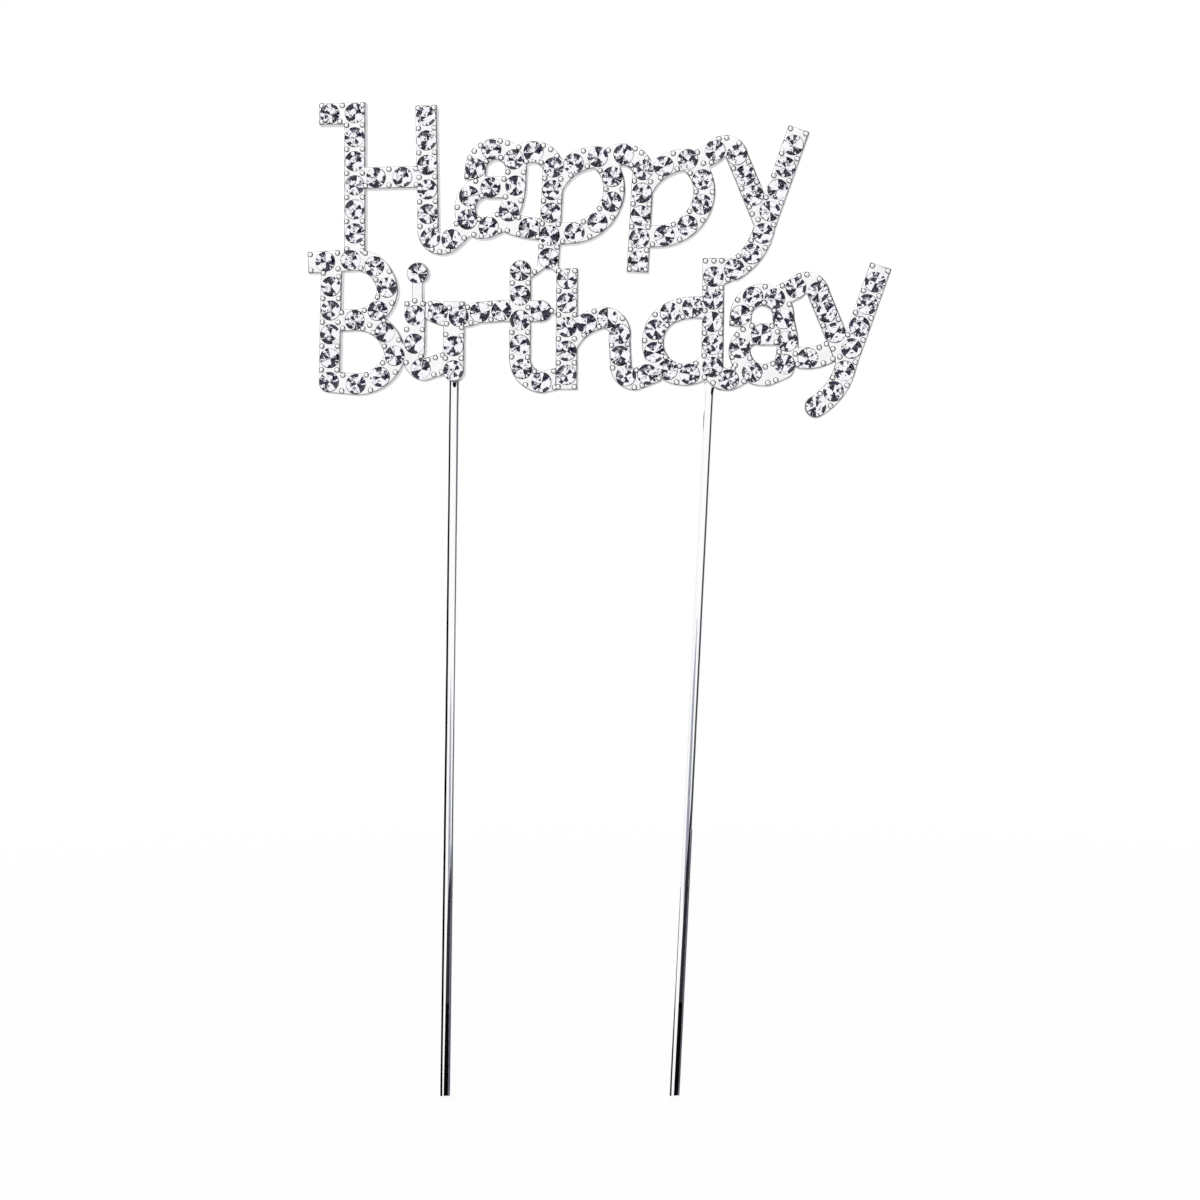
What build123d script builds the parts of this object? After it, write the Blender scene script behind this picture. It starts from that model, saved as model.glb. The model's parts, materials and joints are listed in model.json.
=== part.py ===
from build123d import *
import os
from math import cos, pi, radians, sin, tan

# A jewelled greeting topper: two rows of joined pen-stroke letters cast as a flat plate, one row of
# faceted stones set along every stroke, and two wire rods soldered behind the lower row.
# X runs along the words, Z is up, and the stones face -Y. All sizes are in millimetres.

# Lettering
x_height = 12.0           # of the small letters' centre lines
grid_rows = 12            # pen units in that height; all the strokes are drawn in pen units
stroke_width = 3.4
plate_thickness = 2.0
neck_width = 1.7          # bare neck that carries the dot of the i
bridge_width = 1.0        # narrow bare bridges between letters
row_pitch = 23.0          # from the lower row's baseline up to the upper row's

# Stones and their setting
stone_diameter = 3.1
table_diameter = 1.8
crown_height = 0.5
pavilion_depth = 1.3
stone_sides = 8
stone_gap = 0.05          # least gap between two stones
seat_clearance = 0.02     # all round, between a stone and its pocket
bead_diameter = 0.8
bead_height = 0.3
bead_sides = 3
bead_inset = 0.45         # from a bead's centre to the edge of the stroke

# Rods and solder
rod_diameter = 1.6
rod_reach = 110.9         # from the left rod's tip up to the lower edge of the lower row
left_rod_lean = 0.76      # degrees from upright, tips leaning to -X
right_rod_lean = 2.84
left_rod_offset = 0.4     # to -X from the middle of the stem that it is soldered to
right_rod_offset = 0.6
right_rod_short = 0.9     # how far the right tip ends above the left one
flat_thickness = 1.0      # the rods' upper ends are pressed flat where they are soldered
flat_length = 8.5
solder_cover = 0.4        # solder over the pressed end
solder_margin = 0.35      # solder beside and past the pressed end
solder_start = 2.0        # from the plate's lower edge up to the solder
solder_corner = 0.4
solder_slope = 12         # degrees that the solder's sides lean in

# Each letter's step along its row from the letter before it, and its small lift, in pen units
upper_row = {
    "happy_1_h": (3.9, 0), "happy_2_a": (17.8, 1.3), "happy_3_p": (13.3, 0), "happy_4_p": (14.0, -0.7),
    "happy_5_y": (17.7, 4.4),
}
lower_row = {
    "birthday_1_b": (0, 0.4), "birthday_2_i": (13.5, 2.8), "birthday_3_r": (6.2, 2.0),
    "birthday_4_t": (10.5, 0), "birthday_5_h": (7.3, 1.1), "birthday_6_d": (22.6, 0.1),
    "birthday_7_a": (5.3, 0.8), "birthday_8_y": (13.8, 6.1),
}

half = stroke_width / 2
pen_unit = x_height / grid_rows
baseline = rod_reach + half                           # of the lower row
stone_pitch = stone_diameter + stone_gap
rod_radius = rod_diameter / 2
flat_width = pi * rod_radius**2 / flat_thickness      # pressing keeps the wire's section area


def row_places(row, height):
    """Where each letter of a row stands, in pen units from the start of the lower baseline."""
    places = {}
    along = 0
    for name, (step, lift) in row.items():
        along += step
        places[name] = (along, height + lift)
    return places


places = row_places(upper_row, row_pitch / pen_unit) | row_places(lower_row, 0)


def point_on(other, own, x, z):
    """A point of another letter's drawing, as this letter's own drawing has it."""
    return (places[other][0] + x - places[own][0], places[other][1] + z - places[own][1])


class Stroke:
    """One pen stroke: its centre line, and the stones set along it between two bare ends, in pen units."""

    def __init__(self, *lines, stones=0, bare_start=0, bare_end=0, square="", width=stroke_width, link=False):
        self.path = Wire([line.edge() for line in lines]).scale(pen_unit)
        self.first = bare_start * pen_unit
        self.last = self.path.length - bare_end * pen_unit
        self.stones = min(stones, int((self.last - self.first) / stone_pitch) + 1)
        self.square = square        # which of its ends, start or end, are cut square
        self.width = width
        self.link = link            # a link gives way to the neighbour that it runs into

    def stations(self, count, first, last):
        """Evenly spaced points along the centre line, each with the way the line runs there."""
        step = (last - first) / max(count - 1, 1)
        shares = [(first + step * n) / self.path.length for n in range(count)]
        return [(self.path @ share, self.path % share) for share in shares]

    def stone_stations(self):
        return self.stations(self.stones, self.first, self.last)

    def bead_stations(self):
        """Where a pair of grain beads stands: between each two stones, and at each square end."""
        between = []
        if self.stones > 1:
            half_step = (self.last - self.first) / (self.stones - 1) / 2
            between = self.stations(self.stones - 1, self.first + half_step, self.last - half_step)
        ends = [(tip + along * (half - bead_inset), along) for tip, along in self.square_ends()]
        return between + ends

    def square_ends(self):
        """The tip of the centre line, and the way out, at each end that is cut square."""
        ends = []
        if "start" in self.square:
            ends.append((self.path @ 0, self.path % 0 * -1))
        if "end" in self.square:
            ends.append((self.path @ 1, self.path % 1))
        return ends

    def ribbon(self):
        """The stroke's flat outline, with round ends unless they are cut square."""
        shape = Sketch() + Face(self.path.offset_2d(self.width / 2))
        for tip, along in self.square_ends():
            corner = Plane(tip, x_dir=along, z_dir=(0, 0, 1))
            shape += corner * Pos(self.width / 4) * Rectangle(self.width / 2, self.width)
        return shape


def letter_big_h(foot, link_end):
    """A capital H; its left stem stands at a foot's height, and its right one is linked onward."""
    flag = Stroke(Line((-4.0, 19.6), (0, 19.6)), stones=1, square="start end")
    left = Stroke(Line((0, 19.6), (0, foot)), stones=6, bare_end=1.5, square="start end")
    bar = Stroke(Line((0, 9.4), (11.6, 9.4)), stones=2, bare_start=3.4, bare_end=4.0)
    right = Stroke(
        Line((11.4, 18.9), (11.7, 1.2)), ThreePointArc((11.7, 1.2), (12.8, -0.9), (15.4, -0.5)),
        stones=7, square="start",
    )
    link = Stroke(Line((15.4, -0.5), link_end), link=True)
    return [flag, left, bar, right, link]


def letter_a(tail_end, tail_start=(5.9, 1.0), bare_tail=4.1, back_set=(5, 1.6), bowl_set=(4, 2.6), slant=0.0):
    """A double-storey a with a sagging tail; a slant above or below zero leans its upper half.

    Its back and its bowl each have a number of stones and a bare end.
    """

    def at(x, z):
        return (x + slant * z, z)

    foot = at(5.9, 1.0)
    sag = 0.5
    tail_middle = ((tail_start[0] + tail_end[0]) / 2, (tail_start[1] + tail_end[1]) / 2 - sag)

    back = Stroke(
        ThreePointArc(at(1.4, 9.2), at(4.6, 12.2), at(7.8, 8.6)), Line(at(7.8, 8.6), at(7.7, 6.2)),
        ThreePointArc(at(7.7, 6.2), at(7.1, 3.4), foot),
        stones=back_set[0], bare_end=back_set[1], square="start",
    )
    bowl = Stroke(
        Line(at(7.4, 6.2), at(3.8, 6.2)), ThreePointArc(at(3.8, 6.2), at(0.4, 4.9), at(-0.2, 2.6)),
        ThreePointArc(at(-0.2, 2.6), at(0.8, 0.5), at(3.4, 0)), Line(at(3.4, 0), foot),
        stones=bowl_set[0], bare_start=3.6, bare_end=bowl_set[1],
    )
    tail = Stroke(ThreePointArc(tail_start, tail_middle, tail_end), stones=1, bare_start=bare_tail, link=True)
    return [back, bowl, tail]


def letter_p(hook_start, legs=()):
    """A p hooked to the letter before it; it can stand on splayed legs, each from its stem to a foot."""
    hook = Stroke(
        ThreePointArc(hook_start, (-2.4, 12.9), (0.4, 10.4)), stones=1, bare_start=2.7, link=True
    )
    stem = Stroke(Line((0.4, 10.4), (-0.4, -3.7)), stones=5, square="end")
    bowl = Stroke(
        ThreePointArc((0.3, 7.4), (3.5, 10.9), (7.3, 11.9)),
        ThreePointArc((7.3, 11.9), (9.7, 8.4), (9.4, 4.6)),
        ThreePointArc((9.4, 4.6), (7.4, 1.8), (3.7, 0.2)), Line((3.7, 0.2), (0, 0)),
        stones=6, bare_start=4.9, bare_end=3.7,
    )
    splayed = [Stroke(Line(hip, foot), width=bridge_width, link=True) for hip, foot in legs]
    return [hook, stem, bowl] + splayed


def letter_y(hook_start):
    hook = Stroke(
        Line(hook_start, (-6.3, 7.9)), ThreePointArc((-6.3, 7.9), (-4.2, 8.7), (-2.7, 7.2)),
        stones=1, bare_start=2.9, link=True,
    )
    left = Stroke(Line((-2.8, 7.3), (1.3, -2.8)), stones=3, bare_end=4.1)
    right = Stroke(
        Line((6.2, 9.6), (1.5, -3.6)), ThreePointArc((1.5, -3.6), (-0.2, -7.6), (-3.2, -10.3)),
        stones=7, bare_start=1.0, square="start",
    )
    return [hook, left, right]


def letter_big_b():
    upper = Stroke(
        Line((-1.9, 18.9), (3.2, 19.1)), ThreePointArc((3.2, 19.1), (7.7, 17.5), (9.1, 14.3)),
        ThreePointArc((9.1, 14.3), (7.7, 11.2), (3.9, 9.7)), Line((3.9, 9.7), (0, 9.6)),
        stones=6, bare_start=1.1, bare_end=3.9, square="start",
    )
    stem = Stroke(Line((0.2, 18.9), (-0.2, 0)), stones=5, bare_start=3.9)
    lower = Stroke(
        ThreePointArc((4.0, 9.7), (8.9, 7.5), (10.3, 4.0)),
        ThreePointArc((10.3, 4.0), (8.2, 0.9), (4.2, -0.4)), Line((4.2, -0.4), (-0.2, 0)),
        stones=4, bare_start=5.3, bare_end=4.3,
    )
    return [upper, stem, lower]


def letter_i(base_end):
    dot = Stroke(Line((0.4, 14.5), (0.5, 14.5)), stones=1)
    neck = Stroke(Line((0.4, 14.0), (0.4, 8.6)), width=neck_width)
    body = Stroke(
        Line((0, 8.4), (-0.1, 2.4)), ThreePointArc((-0.1, 2.4), (0.2, 0.1), (1.3, -0.7)),
        stones=3, bare_start=0.5, bare_end=0.4, square="start",
    )
    base = Stroke(Line((1.3, -0.7), base_end), link=True)
    return [dot, neck, body, base]


def letter_r(reach_end):
    stem = Stroke(Line((0, 9.1), (-0.1, 0)), stones=2, bare_start=5.3, square="start")
    arm = Stroke(
        ThreePointArc((-3.2, 9.3), (0.3, 8.4), (3.8, 9.0)), Line((3.8, 9.0), (7.5, 9.2)),
        stones=4, bare_start=0.7,
    )
    reach = Stroke(Line((7.5, 9.2), reach_end), link=True)
    return [stem, arm, reach]


def letter_t(foot_end, bridge_end):
    stem = Stroke(
        Line((0, 17.4), (-0.1, 4.2)), ThreePointArc((-0.1, 4.2), (0.9, 1.2), (3.3, 0)), stones=6
    )
    foot = Stroke(Line((3.3, 0), foot_end), link=True)
    bar = Stroke(Line((0, 11.1), (3.2, 11.1)), stones=1, bare_start=3.2)
    bridge = Stroke(Line((4.2, 11.0), bridge_end), width=bridge_width, link=True)
    return [stem, foot, bar, bridge]


def letter_h(exit_end):
    stem = Stroke(Line((0, 14.9), (-0.1, -0.6)), stones=5, bare_end=0.6, square="start end")
    arch = Stroke(
        ThreePointArc((0, 4.6), (2.4, 7.5), (5.4, 8.8)), ThreePointArc((5.4, 8.8), (7.7, 7.9), (8.2, 5.6)),
        Line((8.2, 5.6), (8.4, 1.6)), ThreePointArc((8.4, 1.6), (9.1, -0.2), (10.7, -0.8)),
        stones=5, bare_start=4.6, bare_end=1.6,
    )
    exit_stroke = Stroke(Line((10.7, -0.8), exit_end), stones=1, bare_start=2.0, link=True)
    return [stem, arch, exit_stroke]


def letter_d(tail_end, bridge_end):
    stem = Stroke(
        Line((0.2, 17.1), (0, 2.4)), ThreePointArc((0, 2.4), (0.8, 0.6), (2.7, 0)),
        stones=6, bare_start=1.2, bare_end=0.15, square="start",
    )
    bowl = Stroke(
        ThreePointArc((0, 10.9), (-3.4, 11.2), (-6.6, 10.4)),
        ThreePointArc((-6.6, 10.4), (-9.2, 5.4), (-6.2, 1.2)),
        ThreePointArc((-6.2, 1.2), (-3.0, 1.0), (0, 3.2)),
        stones=6, bare_start=3.1, bare_end=4.3,
    )
    tail = Stroke(Line((2.7, 0), tail_end), link=True)
    bridge = Stroke(Line((0.2, 15.8), bridge_end), link=True)
    return [stem, bowl, tail, bridge]


class Letter:
    """A letter in its place: flat outlines of its body and its links, and stations for stones and beads."""

    def __init__(self, name, strokes):
        self.name = name
        self.origin = Pos(places[name][0] * pen_unit, baseline + places[name][1] * pen_unit)
        self.body = Sketch() + [self.origin * stroke.ribbon() for stroke in strokes if not stroke.link]
        self.links = [self.origin * stroke.ribbon() for stroke in strokes if stroke.link]
        self.stones = [self.on_row(s) for stroke in strokes for s in stroke.stone_stations()]
        self.beads = [self.on_row(s) for stroke in strokes for s in stroke.bead_stations()]

    def on_row(self, station):
        point, along = station
        return Plane(self.origin.position + point, x_dir=along, z_dir=(0, 0, 1))


def has_room(station, stones):
    """Whether a stone fits beside those already set; one that fits is added to them."""
    fits = all((station.origin - other.origin).length > stone_pitch for other in stones)
    if fits:
        stones.append(station)
    return fits


HAPPY_H, HAPPY_A, HAPPY_P, HAPPY_PP, HAPPY_Y = upper_row
BIG_B, SMALL_I, SMALL_R, SMALL_T, SMALL_H, SMALL_D, SMALL_A, SMALL_Y = lower_row
big_h_foot = point_on(BIG_B, HAPPY_H, 0, 21.8)[1]
low_a_tail = point_on(SMALL_Y, SMALL_A, -0.4, -1.4)
p_legs = [
    ((-0.9, -4.6), point_on(SMALL_T, HAPPY_P, 1.2, 16.5)),
    ((0, -4.6), point_on(SMALL_H, HAPPY_P, -0.9, 15.7)),
]
words = [
    Letter(HAPPY_H, letter_big_h(big_h_foot, point_on(HAPPY_A, HAPPY_H, 0, 0.4))),
    Letter(HAPPY_A, letter_a(point_on(HAPPY_P, HAPPY_A, 0, 0.9))),
    Letter(HAPPY_P, letter_p(point_on(HAPPY_A, HAPPY_P, 8.1, 10.7), p_legs)),
    Letter(HAPPY_PP, letter_p(point_on(HAPPY_P, HAPPY_PP, 8.9, 11.3))),
    Letter(HAPPY_Y, letter_y(point_on(HAPPY_PP, HAPPY_Y, 9.1, 11.7))),
    Letter(BIG_B, letter_big_b()),
    Letter(SMALL_I, letter_i(point_on(SMALL_R, SMALL_I, -0.8, 1.4))),
    Letter(SMALL_R, letter_r(point_on(SMALL_T, SMALL_R, -0.1, 11.2))),
    Letter(SMALL_T, letter_t(point_on(SMALL_H, SMALL_T, -0.2, -0.3), point_on(SMALL_H, SMALL_T, -1.2, 10.0))),
    Letter(SMALL_H, letter_h(point_on(SMALL_D, SMALL_H, -9.0, 1.3))),
    Letter(SMALL_D, letter_d(point_on(SMALL_A, SMALL_D, 0, 0.6), point_on(HAPPY_Y, SMALL_D, -3.2, -10.1))),
    Letter(SMALL_A, letter_a(low_a_tail, (8.6, 2.5), 0.8, (6, 0.6), (3, 5.1), slant=-0.25)),
    Letter(SMALL_Y, letter_y(point_on(SMALL_A, SMALL_Y, 5.0, 12.0))),
]

set_stones = []
for letter in words:
    # A stone that would touch one that is set already is left out
    letter.stones = [s for s in letter.stones if has_room(s, set_stones)]

front = Plane.XZ      # drawn upright, with the plate's face at Y = 0


def ring(diameter, sides, height=0):
    """The corners of a level regular polygon."""
    return [Vector(diameter / 2, 0, height).rotate(Axis.Z, 360 / sides * n) for n in range(sides)]


def faceted(*rings):
    """A closed solid with flat facets from ring to ring; a ring of one corner is a point."""
    faces = [Face(Wire.make_polygon(corners)) for corners in (rings[0], rings[-1]) if len(corners) > 2]
    for upper, lower in zip(rings, rings[1:]):
        for n in range(len(upper)):
            m = (n + 1) % len(upper)
            side = [upper[n], upper[m]] + ([lower[m], lower[n]] if len(lower) > 1 else lower)
            faces.append(Face(Wire.make_polygon(side)))
    return Solid(Shell(faces))


def stone():
    """A single-cut stone: a flat table, a ring of crown facets and a pointed pavilion."""
    table = ring(table_diameter, stone_sides, crown_height)
    girdle = ring(stone_diameter, stone_sides)
    return faceted(table, girdle, [Vector(0, 0, -pavilion_depth)])


def pocket():
    """The pointed pocket that a stone's pavilion sits in."""
    grow = 1 + 2 * seat_clearance / stone_diameter
    return faceted(ring(stone_diameter * grow, stone_sides), [Vector(0, 0, -pavilion_depth * grow)])


def bead():
    """A raised grain of the casting."""
    return faceted(ring(bead_diameter, bead_sides), [Vector(0, 0, bead_height)])


def bead_places(letter, flat, taken):
    """Beads stand at both edges of a stroke, on their own letter, where no stone or other bead is."""
    places = []
    for station in letter.beads:
        for side in (-1, 1):
            point = station.origin + station.y_dir * side * (half - bead_inset)
            clear_of_stones = all(
                (point - s.origin).length > (stone_diameter + bead_diameter) / 2 for s in set_stones
            )
            clear_of_beads = all((point - other).length > bead_diameter for other in taken)
            if clear_of_stones and clear_of_beads and flat.distance_to(Vertex(point)) == 0:
                taken.append(point)
                places.append(Pos(point))
    return places


def letter_flats():
    """Each letter's share of the flat outline; what a neighbour cuts off from it goes to that neighbour."""
    taken = Sketch()
    for letter in words:
        letter.body = letter.body - taken
        taken = taken + letter.body
    flats = {}
    for letter in words:
        flat = letter.body
        for link in letter.links:
            flat = flat + (link - taken)
        taken = taken + flat
        flats[letter.name] = flat
    for name in places:
        *cut_off, own = flats[name].faces().sort_by(SortBy.AREA)
        flats[name] = Sketch() + own
        for piece in cut_off:
            touching = [other for other in places if flats[other].distance_to(piece) == 0]
            flats[touching[0]] = flats[touching[0]] + piece
    return flats


def letter_plates():
    """Each letter's share of the casting, butted against its neighbours."""
    plates = {}
    reach = stone_diameter / 2 + seat_clearance
    flats = letter_flats()
    beads_set = []
    for letter in words:
        flat = flats[letter.name]
        plate = extrude(front * flat, amount=-plate_thickness)
        near = [s for s in set_stones if flat.distance_to(Vertex(s.origin)) < reach]
        plate = plate - [front * s.location * pocket() for s in near]
        plate = plate + [front * place * bead() for place in bead_places(letter, flat, beads_set)]
        plates[letter.name] = plate
    return plates


def letter_stones(letter):
    return Compound([front * s.location * stone() for s in letter.stones])


def rod(edge_x, edge_z, lean, tip_z=0):
    """A wire rod: round from its tip to the plate's edge, then pressed flat along the plate's back."""
    up = Plane(
        (edge_x, plate_thickness + rod_radius, edge_z),
        x_dir=(cos(radians(lean)), 0, -sin(radians(lean))), z_dir=(sin(radians(lean)), 0, cos(radians(lean))),
    )
    length = (edge_z - tip_z - rod_radius * sin(radians(lean))) / cos(radians(lean))
    round_wire = extrude(up * Circle(rod_radius), amount=-length)
    pressed = Pos(0, flat_thickness / 2 - rod_radius) * Rectangle(flat_width, flat_thickness)
    strip = extrude(up * pressed, amount=flat_length)
    print("rod", "axis down", tuple(-up.z_dir), "tip", tuple(up.origin - up.z_dir * length), "wall", length)
    return round_wire + strip


def solder(edge_x, edge_z, lean, wire):
    """The solder that beds a rod's pressed end on the plate's back."""
    solder_end = flat_length + solder_margin
    middle = (solder_start + solder_end) / 2
    centre = (edge_x + middle * sin(radians(lean)), plate_thickness, edge_z + middle * cos(radians(lean)))
    bed = Plane(centre, x_dir=(sin(radians(lean)), 0, cos(radians(lean))), z_dir=(0, 1, 0))
    height = flat_thickness + solder_cover
    inset = height * tan(radians(solder_slope))

    def outline(shrink, level):
        """The corners of a rectangle with cut corners, once round."""
        a = (solder_end - solder_start) / 2 - shrink
        b = flat_width / 2 + solder_margin - shrink
        c = solder_corner
        upper = [(a, b - c), (a - c, b), (c - a, b), (-a, b - c)]
        lower = [(x, -y) for x, y in reversed(upper)]
        return [Vector(x, y, level) for x, y in upper + lower]

    return bed.location * faceted(outline(0, 0), outline(inset, height)) - wire


nodes = letter_plates()
for letter in words:
    nodes["stones_" + letter.name] = letter_stones(letter)

# Each rod comes out from under the foot of one stem of the lower row
left_x, left_lift = places[SMALL_R]
right_x, right_lift = places[SMALL_D]
left_edge = (left_x * pen_unit - left_rod_offset, baseline + left_lift * pen_unit - half)
right_edge = (right_x * pen_unit - right_rod_offset, baseline + right_lift * pen_unit - half)
nodes["rod_left"] = rod(*left_edge, left_rod_lean)
nodes["rod_right"] = rod(*right_edge, right_rod_lean, right_rod_short)
nodes["solder_left"] = solder(*left_edge, left_rod_lean, nodes["rod_left"])
nodes["solder_right"] = solder(*right_edge, right_rod_lean, nodes["rod_right"])

# The origin is at the bottom of the whole topper, in the middle of its width and depth
box = Compound([shape for shape in nodes.values()]).bounding_box()
home = Pos(-box.center().X, -box.center().Y, -box.min.Z)
print("origin moved by", tuple(home.position))

os.makedirs("parts", exist_ok=True)
for name, shape in nodes.items():
    export_step(home * shape, "parts/" + name + ".step")
    print(name, len(shape.solids()), round(shape.volume, 2))
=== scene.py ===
import json
import math
import random

import bmesh
import bpy
import numpy as np
from mathutils import Matrix, Vector, noise


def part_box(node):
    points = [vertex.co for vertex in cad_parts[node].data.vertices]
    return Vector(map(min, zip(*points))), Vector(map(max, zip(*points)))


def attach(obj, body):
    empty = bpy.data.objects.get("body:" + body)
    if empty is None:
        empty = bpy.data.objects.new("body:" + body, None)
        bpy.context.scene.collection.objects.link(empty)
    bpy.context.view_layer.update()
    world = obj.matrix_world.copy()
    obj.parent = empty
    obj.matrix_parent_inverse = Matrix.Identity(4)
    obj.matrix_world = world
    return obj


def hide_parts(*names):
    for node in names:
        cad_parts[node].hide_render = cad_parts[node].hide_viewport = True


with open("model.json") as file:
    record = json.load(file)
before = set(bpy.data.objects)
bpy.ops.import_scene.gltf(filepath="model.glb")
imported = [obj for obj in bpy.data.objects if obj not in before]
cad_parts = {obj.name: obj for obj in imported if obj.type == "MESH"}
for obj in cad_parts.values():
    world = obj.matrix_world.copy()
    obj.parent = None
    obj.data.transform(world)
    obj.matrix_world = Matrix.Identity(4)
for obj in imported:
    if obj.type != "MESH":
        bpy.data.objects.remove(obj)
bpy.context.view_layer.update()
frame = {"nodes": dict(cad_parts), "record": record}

# A jewelled greeting topper: silvered letter plates set with faceted stones between grain beads, on two
# chrome wire rods. Everything is in metres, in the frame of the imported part: the stones face -Y.
MM = 0.001
LETTERS = [name for name in frame["nodes"] if "stones_" + name in frame["nodes"]]
MOUNTS = {mount["name"]: mount for mount in frame["record"]["mounts"]}
BEHIND = Vector((0, 1, 0))
SAME_LEVEL = 1e-6             # corners this near in Y are at one level

# Plates
FRONT_ROUND = 0.24 * MM
BACK_ROUND = 0.12 * MM
ROUND_STEPS = 4
BRIGHT_STEPS = 1              # of the rounding, polished with the face; the rest has darker tones that paint a shade line along the edge
SEAM_PROBE = 0.02 * MM        # how far outside an edge a neighbouring letter is looked for
SEAM_LEAN = 0.4               # a corner slides along a seam that leans out at least this much
MITRE_LEAST = 0.5             # keeps a sharp corner from moving too far
SETTLE_PASSES = 6
SHORT_EDGE = 0.1              # the share of an edge that the rounding has to leave
FLAT_NORMAL = 0.999           # a face that looks this straight along Y is shaded flat
PLATE_CREASE = math.radians(40)
# The edge finish paints a dark shade line along the rounded edge, and the seat finish paints shade in the
# stones' seats.
FACE, SHADED_EDGE, WALL, BACK, SHADED_SEAT = range(5)     # a plate's finishes, in the order of its materials

# Stones; the shares are of the girdle's radius
FOLDS = 8
GIRDLE_SIDES = 2 * FOLDS
TABLE_SHARE = 0.56
STAR_SHARE = 0.82
BELT_SHARE = 0.55             # where the pavilion's two rows of facets meet
BELT_DEPTH_SHARE = 0.48       # of the pavilion's depth
GIRDLE_HEIGHT = 0.05 * MM
STONE_LIFT = 0.03 * MM        # the girdle stands just clear of the plate's face
STONE_TILT = 3                # degrees, at most
CRYSTAL, FOIL = range(2)      # a stone's materials, in order

# Seats under the stones
SEAT_GAP = 0.05 * MM
SEAT_SLACK = 0.04 * MM        # how far a stone lies off its seat's centre
SEAT_LEDGE = 0.12 * MM        # the seat's straight wall, before it narrows under the stone
SEAT_HEADROOM = 1 * MM        # how far the cutter stands out of the plate's face
SEAT_SIDES = 24
WELD_GAP = 0.002 * MM
NEEDLE_WIDTH = 0.001 * MM

# Foil behind the stones
WHITE_FOIL = (1.0, 1.0, 1.0)
# The black tone is a painted dark reflection in the facets; white is the foil's own colour.
PAINTED_DARK_REFLECTION = (0.003, 0.003, 0.03)
OUTER_RUNS = (2, 2, 1)        # how many neighbouring facets are dark together, in the pavilion's outer row
INNER_RUNS = (2, 2)           # and in its inner row

# Beads
BEAD_RADIUS = 0.35 * MM
BEAD_HEIGHT = 0.36 * MM
BEAD_SIDES = 12
BEAD_STEP = 0.1 * MM          # between the places that are tried along an edge
BEAD_INSET = 0.45 * MM        # from a bead's centre to the plate's edge
INSET_LEAST = 0.95 * BEAD_INSET
INSET_MOST = 1.1 * BEAD_INSET
CORNER_TURN = 0.3             # two edges form a corner if the cosine between their ways out is less
BEAD_PITCH = 1.2 * MM         # least distance between two beads
BEAD_REACH = 3.9 * MM         # a bead stands this near to two stones, or in a corner
BEAD_FLOOR = 2.0 * MM         # how wide the plate is, at least, where a bead stands
STONE_CLEAR = 0.7 * BEAD_RADIUS             # from a bead's centre to a stone
CORNER_CLEAR = 0.4 * BEAD_RADIUS            # the same, in a corner
# Shares of the radius and height up a bead's side; the first step is its flared foot
BEAD_PROFILE = [(1.28, 0.0), (0.92, 0.2), (0.86, 0.5), (0.68, 0.8), (0.36, 0.96)]
# A bead's foot material paints shade round its base.
GRAIN, SHADED_FOOT = range(2)        # a bead's materials, in order

# Rods
ROD_SIDES = 40
ROD_BENDS = 28                # places where the wire sways a little
ROD_SWAY = 0.008 * MM
PRESS_LENGTH = 1.8 * MM       # over which the round wire turns flat
PRESS_STEPS = 6
FLAT_THICKNESS = 1.0 * MM
FLAT_END = 8.4 * MM           # from the plate's lower edge to the end of the wire
ROUND, SQUARE = 2, 4          # how square a section of the wire is: 2 is an ellipse, and more is squarer
ROD_CREASE = math.radians(50)
# Heights over the tip, and distances from the other end, each with a share of the wire's size there
TIP_PROFILE = [(0.02 * MM, 0.8), (0.075 * MM, 0.95), (0.15 * MM, 1.0)]
END_PROFILE = [(1.2 * MM, 1.0), (0.4 * MM, 0.85), (0.0, 0.5)]

# Solder
SOLDER_RINGS = 9
SOLDER_SIDES = 40
SOLDER_WIDTH = 0.98           # of the solid's
SOLDER_LEVEL = 5              # more keeps the top level for longer
SOLDER_SLOPE = 0.6            # less makes the sides steeper
SOLDER_ENDS = 0.4             # less makes the ends squarer
SOLDER_FLANKS = 0.6           # the same, for the long sides
SOLDER_LUMP = 0.12 * MM
LUMP_LENGTH = 1.25 * MM

# Camera, as the photograph was taken
VIEW_TARGET = Vector((0.72, -1.55, 78.69)) * MM
VIEW_DISTANCE = 330 * MM
VIEW_AZIMUTH = math.radians(6)
VIEW_WIDTH = 186.3 * MM       # seen across the picture at the target
VIEW_NEAREST = 10 * MM
SENSOR = 36.0

# Studio
WORLD_LIGHT = 0.55            # the world's strength for the light that it throws; where it is seen it has 1
FLOOR_RADIUS = 4.0
FLOOR_SIDES = 96
FLOOR_GLOW = 0.93             # the share of plain white in the floor round the object
FLOOR_FADE = (0.05, 0.5)      # from here to here that share grows to 1
LAMP_TARGET = Vector((0, 0, 0.1))
# Each lamp's place, size and power
LAMPS = {
    "key": ((-0.7, -0.9, 1.1), 0.8, 5.0),
    "top": ((0.15, -0.6, 1.0), 0.5, 2.4),
    "left": ((-0.9, -0.35, 0.45), 0.4, 1.6),
}

# Cards that the metal reflects; azimuth 0 is in front of the object, and more is to the right
CARD_STEPS = 12
CARD_TINT = (0.94, 0.97, 1.15)
CARD_TONES = {"black": 0.005, "deep": 0.05, "dark": 0.1, "mid": 0.22, "grey": 0.6}
# Large cards far out: two azimuths in degrees, and two heights
LARGE_CARD_REACH = 0.5
LARGE_CARDS = {"back_left": ((-150, -98), (0.17, 0.6)), "front_right": ((22, 70), (0.17, 0.5))}
# Small cards close round each rod
WIRE_CARD_REACH = 1.6 * MM
BACK_CARD_AZIMUTHS = (162, 186)
BACK_CARD_HEIGHTS = (0.0, 108 * MM)
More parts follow.
